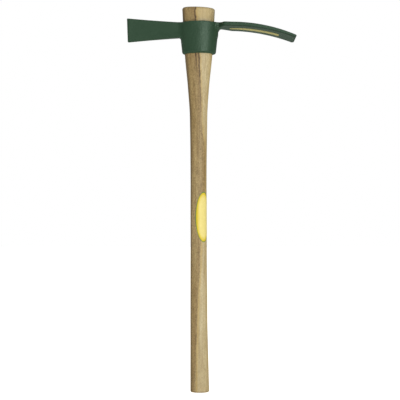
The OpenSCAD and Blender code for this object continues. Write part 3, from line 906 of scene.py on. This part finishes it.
def make_handle(material):
    """Rings of the handle's oval from the middle of the butt, out round its edge, up the shaft, and round the
    edge of the top to its middle. The saw cut at the top leans a little towards the adze."""
    turn = np.linspace(0, 2 * np.pi, HANDLE_SIDES, endpoint=False)
    quarter = np.linspace(0, np.pi / 2, EDGE_ROWS)
    cap = np.linspace(CAP_START, 1, CAP_ROWS, endpoint=False)
    shaft = np.linspace(BUTT_ROUND, HANDLE_LEN - TOP_ROUND, SHAFT_ROWS)[1:-1]
    low_z = BUTT_ROUND * (1 - np.cos(quarter))
    low_in = BUTT_ROUND * (1 - np.sin(quarter))
    high_z = HANDLE_LEN - TOP_ROUND * (1 - np.cos(quarter[::-1]))
    high_in = TOP_ROUND * (1 - np.sin(quarter[::-1]))
    z = np.concatenate([0 * cap, low_z, shaft, high_z, HANDLE_LEN + 0 * cap])
    inset = np.concatenate([BUTT_ROUND + 0 * cap, low_in, 0 * shaft, high_in, TOP_ROUND + 0 * cap])
    share = np.concatenate([cap, 1 + 0 * low_z, 1 + 0 * shaft, 1 + 0 * high_z, cap[::-1]])
    rings = handle_point(turn, z[:, None], inset[:, None], share[:, None])
    lean = rise(rings[..., 2], EYE_TOP, HANDLE_LEN - EYE_TOP)
    rings[..., 2] -= TOP_TILT * lean * rings[..., 0]
    poles = np.array([[HANDLE_STATIONS[0, 3], 0, 0], [0, 0, HANDLE_LEN]])
    points = np.vstack([rings.reshape(-1, 3), poles])
    ring = np.arange(HANDLE_SIDES)
    top_ring = ring + (len(z) - 1) * HANDLE_SIDES
    caps = np.vstack([fan_faces(len(points) - 2, ring[::-1]), fan_faces(len(points) - 1, top_ring)])
    quads = grid_faces(len(z), HANDLE_SIDES, True)
    handle = add_piece("hardwood_handle", points, quads, caps, material)
    finish_wood(handle, points)
    seat(handle, "handle", "handle")


def finish_enamel(head, points):
    """What the points of the head carry for its finish: painted shade in the hollows beside the adze's neck,
    along its lower edges and under the neck, and where the eye keeps a rough skin."""
    x, y, z = points.T
    along, deep = adze_place(x, z)
    inside = adze_thickness(along) - deep
    # Painted shade in the hollows beside the neck, along the adze's lower edges and under the neck
    hollow = rise(along, *HOLLOW_START) * fall(along + deep / 2, *HOLLOW_END) * fall(deep, *HOLLOW_DEPTH)
    hollow = HOLLOW_SHADE * hollow * rise(np.abs(y), *HOLLOW_ACROSS)
    off_edge = np.hypot(inside, adze_plan(along, y))
    low_edge_shade = LOW_EDGE_SHADE * fall(off_edge, *LOW_EDGE_WIDTH) * rise(along, *LOW_EDGE_START)
    under_neck_shade = NECK_SHADE_DARK * band(along, *NECK_SHADE) * rise(inside, *NECK_SHADE_HEIGHT)
    add_attribute(head, "enamel_shade", np.maximum(np.maximum(hollow, low_edge_shade), under_neck_shade))
    add_attribute(head, "rough_skin", fall(np.abs(x), *ROUGH_SKIN_OUT))


def make_head(material):
    """The zero surface of the forging's distance field, with its points settled on to it."""
    low, high = (np.array(corner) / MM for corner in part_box("mattock_head"))
    points, quads = zero_surface(forged_head, low - HEAD_MARGIN, high + HEAD_MARGIN, HEAD_STEP)
    points = settle(forged_head, points)
    head = add_piece("forged_head", points, quads, NO_TRIANGLES, material)
    finish_enamel(head, points)
    seat(head, "mattock_head", "head")


def make_handle_label(material):
    """An oval of rings and spokes laid round the handle: height and turn follow the place on the sticker. On
    its UV map the way out is raised to a power, which grows towards the two ends to the oval's own
    proportion, so that a printed band is about as wide there as at the sides."""
    share = np.linspace(0, 1, OVAL_RINGS + 1)[1:, None]
    spoke = np.linspace(0, 2 * np.pi, OVAL_SPOKES, endpoint=False)
    half_w, half_d, _ = handle_section(np.array(LABEL_MID_H))
    radius = (half_w + half_d) / 2

    def skin(share, spoke, lift):
        """Points at a share of the way out along a spoke, lifted off the wood."""
        z = LABEL_MID_H + share * LABEL_H / 2 * np.sin(spoke)
        angle = LABEL_TURN - np.pi / 2 + share * LABEL_W / 2 * np.cos(spoke) / radius
        return handle_point(angle, z, -lift).reshape(-1, 3)

    middle = np.zeros((1, 1))
    lifts = (LABEL_GAP + LABEL_T, LABEL_GAP)
    points = np.vstack([skin(*place, lift) for lift in lifts for place in ((share, spoke), (middle, middle))])
    size = OVAL_RINGS * OVAL_SPOKES + 1
    ring = np.arange(OVAL_SPOKES)
    border = ring + (OVAL_RINGS - 1) * OVAL_SPOKES
    quads = grid_faces(OVAL_RINGS, OVAL_SPOKES, True)[:, ::-1]
    faces = sheet_faces(quads, fan_faces(size - 1, ring), border, size)
    label = add_piece("handle_sticker", points, *faces, material)
    away = share ** mix(1, LABEL_H / LABEL_W, np.sin(spoke) ** 2)
    uv = np.stack([away * np.cos(spoke), away * np.sin(spoke)], -1).reshape(-1, 2)
    uv = np.vstack([uv, np.zeros((1, 2))])
    add_uv(label, np.vstack([uv, uv]))
    seat(label, "handle_label", "handle")


def make_adze_label(material):
    """A strip under the adze: along the blade and across it, from a rounded point out to its full width, and
    easing over to its far end's width and place, which is cut a little out of square."""
    along = np.linspace(STRIP_START, STRIP_START + STRIP_LEN, STRIP_ROWS)[:, None]
    share = (along - STRIP_START) / STRIP_LEN
    spread = ease(share / STRIP_SPREAD)
    point = np.sqrt(np.clip((along - STRIP_START) / STRIP_POINT, STRIP_LEAST_SHARE, 1))
    half = mix(STRIP_ROOT_W, STRIP_TIP_W, spread) / 2 * point
    across = mix(STRIP_ROOT_SHIFT, STRIP_TIP_SHIFT, spread) + half * np.linspace(-1, 1, STRIP_COLUMNS)
    along = along + STRIP_END_SKEW * across * share
    depth = adze_thickness(along) + LABEL_GAP
    points = np.vstack([adze_point(along, across, depth + lift).reshape(-1, 3) for lift in (LABEL_T, 0)])
    size = STRIP_ROWS * STRIP_COLUMNS
    index = np.arange(size).reshape(STRIP_ROWS, STRIP_COLUMNS)
    border = np.concatenate([index[0, :-1], index[:-1, -1], index[-1, :0:-1], index[:0:-1, 0]])
    faces = sheet_faces(grid_faces(STRIP_ROWS, STRIP_COLUMNS, False), NO_TRIANGLES, border, size)
    label = add_piece("adze_sticker", points, *faces, material)
    seat(label, "adze_label", "head")


make_head(green_enamel())
make_handle(oiled_hardwood())
make_handle_label(oval_vinyl())
make_adze_label(strip_vinyl())


# Stage, light and camera: the floor in millimetres, the rest in metres
FLOOR_RADIUS = 8000.0
FLOOR_SIDES = 96
FILL_STRENGTH = 0.22
CAMERA_PLACE = (0.0033, -2.6, 0.44995)
CAMERA_SENSOR = 36.0
CAMERA_LENS = 99.74


def make_floor():
    """A wide pale disc under the butt."""
    rim = np.linspace(0, 2 * np.pi, FLOOR_SIDES, endpoint=False)
    circle = FLOOR_RADIUS * np.stack([np.cos(rim), np.sin(rim), 0 * rim], -1)
    points = np.vstack([circle, np.zeros((1, 3))])
    material, _, shader = new_material("pale_floor")
    shader.inputs["Base Color"].default_value = (0.92, 0.92, 0.92, 1)
    shader.inputs["Roughness"].default_value = 0.9
    shader.inputs["Emission Color"].default_value = (1, 0.965, 0.89, 1)
    shader.inputs["Emission Strength"].default_value = 1.0
    fan = fan_faces(FLOOR_SIDES, np.arange(FLOOR_SIDES))
    floor = add_piece("pale_floor", points, NO_QUADS, fan, material)
    floor.visible_glossy = False


def soft_light(name, place, aim, width, height, watts, shine=True):
    """A rectangle of light that faces its aim. Without shine it isn't mirrored in the paint."""
    light = bpy.data.lights.new(name, "AREA")
    light.shape = "RECTANGLE"
    light.size = width
    light.size_y = height
    light.energy = watts
    lamp = bpy.data.objects.new(name, light)
    lamp.location = place
    lamp.visible_camera = False
    lamp.visible_glossy = shine
    lamp.rotation_euler = (Vector(aim) - Vector(place)).to_track_quat("-Z", "Y").to_euler()
    bpy.context.scene.collection.objects.link(lamp)


def white_studio():
    """White all round as the camera sees it, and a dimmer white as fill light."""
    world = bpy.data.worlds.new("white_studio")
    bpy.context.scene.world = world
    world.use_nodes = True
    tree = world.node_tree
    background = tree.nodes["Background"]
    background.inputs["Color"].default_value = (1, 1, 1, 1)
    seen = node(tree, "ShaderNodeLightPath", {}).outputs["Is Camera Ray"]
    tree.links.new(combine(tree, "MAXIMUM", seen, FILL_STRENGTH), background.inputs["Strength"])


def photo_camera():
    """A long lens level with the middle of the handle, square to the blades."""
    camera = bpy.data.cameras.new("photo_camera")
    camera.sensor_width = CAMERA_SENSOR
    camera.lens = CAMERA_LENS
    viewer = bpy.data.objects.new("photo_camera", camera)
    viewer.location = CAMERA_PLACE
    viewer.rotation_euler = (np.pi / 2, 0, 0)
    bpy.context.scene.collection.objects.link(viewer)
    bpy.context.scene.camera = viewer


make_floor()
white_studio()
soft_light("key", place=(1.13, -2.34, 0.75), aim=(0, 0, 0.6), width=1.4, height=2.4, watts=30)
soft_light("fill", place=(-0.6, -3.2, 0.5), aim=(0, 0, 0.5), width=3.0, height=3.0, watts=36, shine=False)
soft_light("overhead", place=(0.0, -0.6, 3.0), aim=(0, 0, 0), width=2.5, height=2.5, watts=14)
photo_camera()
bpy.context.scene.view_settings.view_transform = "Standard"
